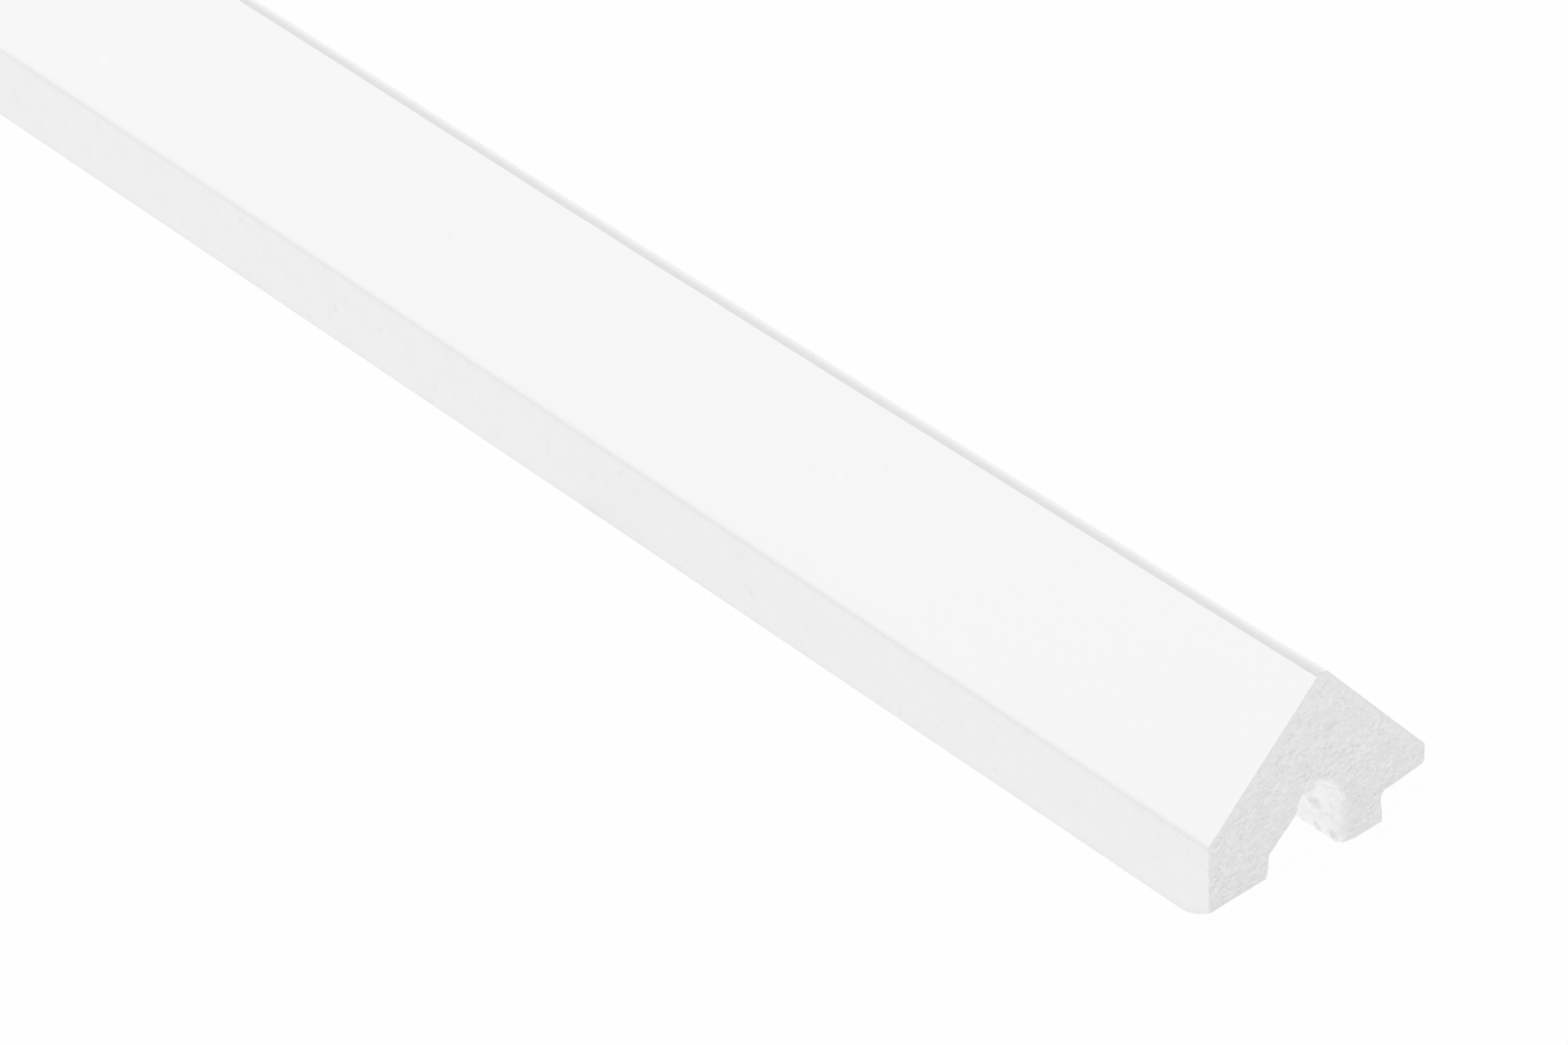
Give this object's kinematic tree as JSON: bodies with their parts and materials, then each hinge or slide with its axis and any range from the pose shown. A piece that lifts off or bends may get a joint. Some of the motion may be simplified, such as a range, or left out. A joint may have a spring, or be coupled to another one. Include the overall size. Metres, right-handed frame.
{
  "type": "wall panel end trim",
  "caption": "White foam end trim for a slatted wall panel: sloping main face with a raised ridge bead, a lapping wing with a rebate, and a groove between two feet.",
  "frame": {"origin": "on the wall plane, under the middle of the strip's length and width", "axes": "+Z away from the wall, +Y along the strip away from the worn sawn end, +X from the upright front face towards the wing"},
  "size_m": [0.027, 0.2, 0.0215],
  "materials": {
    "painted_foam": "matt white paint film over fine-celled white foam"
  },
  "bodies": {
    "root": {"end_trim": "painted_foam"}
  },
  "joints": []
}
